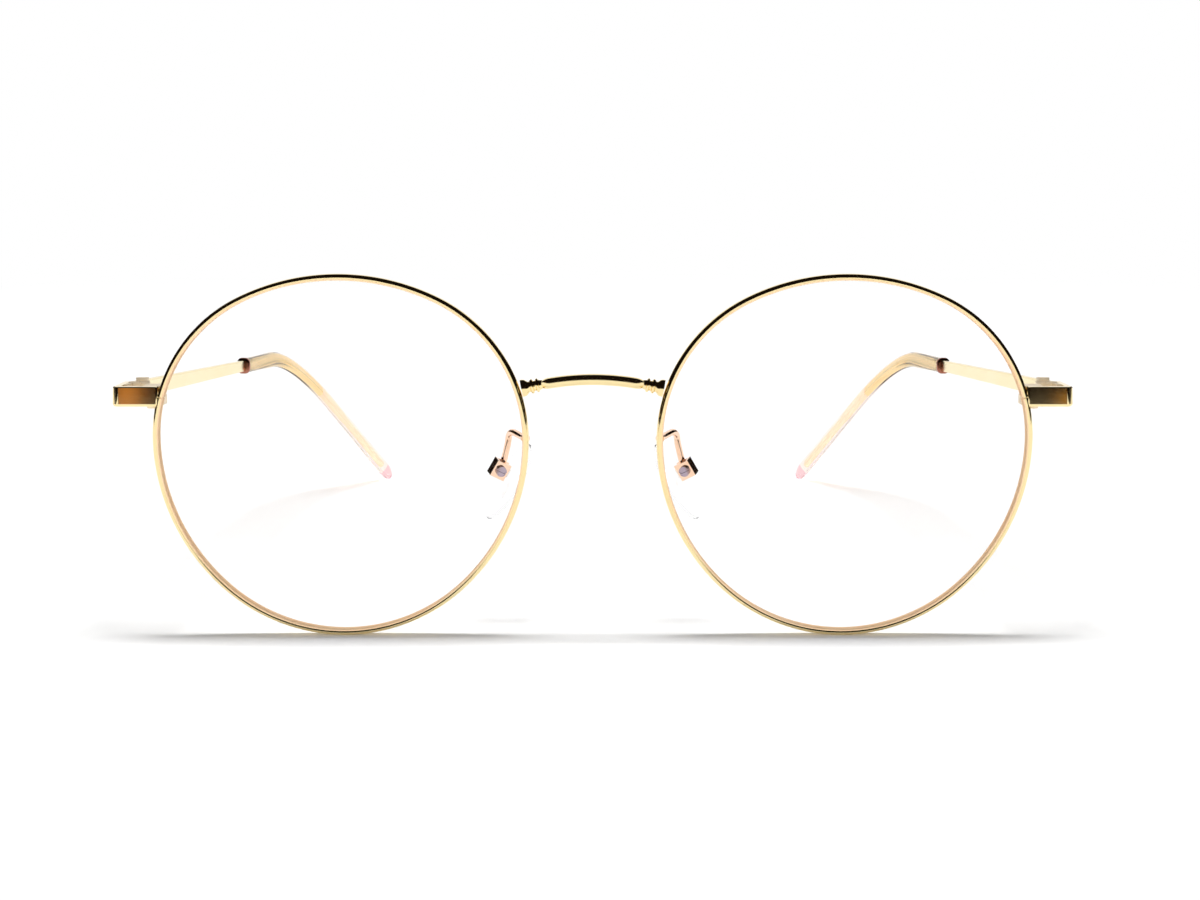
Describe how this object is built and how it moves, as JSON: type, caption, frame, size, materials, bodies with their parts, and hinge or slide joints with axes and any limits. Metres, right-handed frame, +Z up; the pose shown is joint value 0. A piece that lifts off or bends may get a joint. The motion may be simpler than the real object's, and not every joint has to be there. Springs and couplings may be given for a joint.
{
  "type": "eyeglasses frame",
  "caption": "Round metal eyeglasses frame with folding temples, clear tips, rocking nose pads and clear lenses.",
  "frame": {"origin": "on the surface the glasses stand on, under the middle of their box: the rims' lowest points and the tip ends touch it", "axes": "+X to the wearer's left, -Y the way the wearer looks (the lenses face -Y and the temples run towards +Y), +Z up"},
  "size_m": [0.1398, 0.1355, 0.0534],
  "materials": {
    "polished_gold": "polished gold plate on nickel-silver wire",
    "screw_steel": "plated steel, slotted heads",
    "pale_gold": "pale polished gold plate on flat strip",
    "insert_metal": "stamped steel",
    "copper_ring": "polished rose-brown plate",
    "clear_lens": "clear demo lens",
    "clear_tip": "clear acetate",
    "clear_silicone": "clear silicone, satin"
  },
  "bodies": {
    "front": {"bridge": "polished_gold", "rim_screws": "polished_gold", "hinge_screws": "polished_gold", "pad_screws": "screw_steel", "rim_right": "polished_gold", "lens_right": "clear_lens", "block_upper_right": "polished_gold", "block_lower_right": "polished_gold", "end_piece_right": "polished_gold", "front_hinge_right": "polished_gold", "pad_arm_right": "polished_gold", "pad_box_right": "polished_gold", "rim_left": "polished_gold", "lens_left": "clear_lens", "block_upper_left": "polished_gold", "block_lower_left": "polished_gold", "end_piece_left": "polished_gold", "front_hinge_left": "polished_gold", "pad_arm_left": "polished_gold", "pad_box_left": "polished_gold"},
    "temple_right": {"temple_hinge_right": "polished_gold", "temple_right": "pale_gold", "tip_ring_right": "copper_ring", "temple_tip_right": "clear_tip"},
    "temple_left": {"temple_hinge_left": "polished_gold", "temple_left": "pale_gold", "tip_ring_left": "copper_ring", "temple_tip_left": "clear_tip"},
    "pad_right": {"pad_insert_right": "insert_metal", "nose_pad_right": "clear_silicone"},
    "pad_left": {"pad_insert_left": "insert_metal", "nose_pad_left": "clear_silicone"}
  },
  "joints": [
    {"name": "temple_left_fold", "type": "hinge", "parent": "front", "child": "temple_left", "pos_m": [0.067, -0.05987, 0.03566], "axis": [0, 0.0541, 0.9985], "range_deg": [0, 82]},
    {"name": "temple_right_fold", "type": "hinge", "parent": "front", "child": "temple_right", "pos_m": [-0.067, -0.05987, 0.03566], "axis": [0, -0.0541, -0.9985], "range_deg": [0, 70]},
    {"name": "pad_left_rock", "type": "hinge", "parent": "front", "child": "pad_left", "pos_m": [0.01418, -0.05685, 0.02336], "axis": [0.2962, 0.9397, 0.171], "range_deg": [-12, 12]},
    {"name": "pad_right_rock", "type": "hinge", "parent": "front", "child": "pad_right", "pos_m": [-0.01418, -0.05685, 0.02336], "axis": [-0.2962, 0.9397, 0.171], "range_deg": [-12, 12]}
  ]
}
